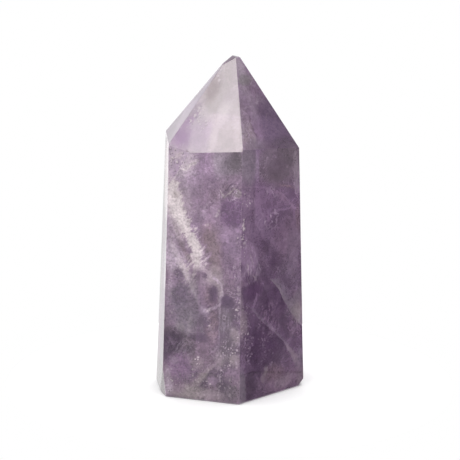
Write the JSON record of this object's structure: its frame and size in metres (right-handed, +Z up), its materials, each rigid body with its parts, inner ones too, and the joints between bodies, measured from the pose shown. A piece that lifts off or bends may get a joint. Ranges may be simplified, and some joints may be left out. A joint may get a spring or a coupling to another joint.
{
  "type": "chevron amethyst point",
  "caption": "Upright polished point of chevron amethyst with flat sides, a pointed tip and a sawn flat foot, to stand on a shelf or desk.",
  "frame": {"origin": "middle of the flat foot's bounding box, on the surface that the stone stands on", "axes": "+Z up along the crystal towards its tip, -Y towards the front that the picture shows, +X to its right"},
  "size_m": [0.033, 0.0328, 0.0747],
  "materials": {
    "amethyst": "hand-polished translucent purple quartz with white chevron bands, veils and smoky patches"
  },
  "bodies": {
    "root": {"amethyst_point": "amethyst"}
  },
  "joints": []
}
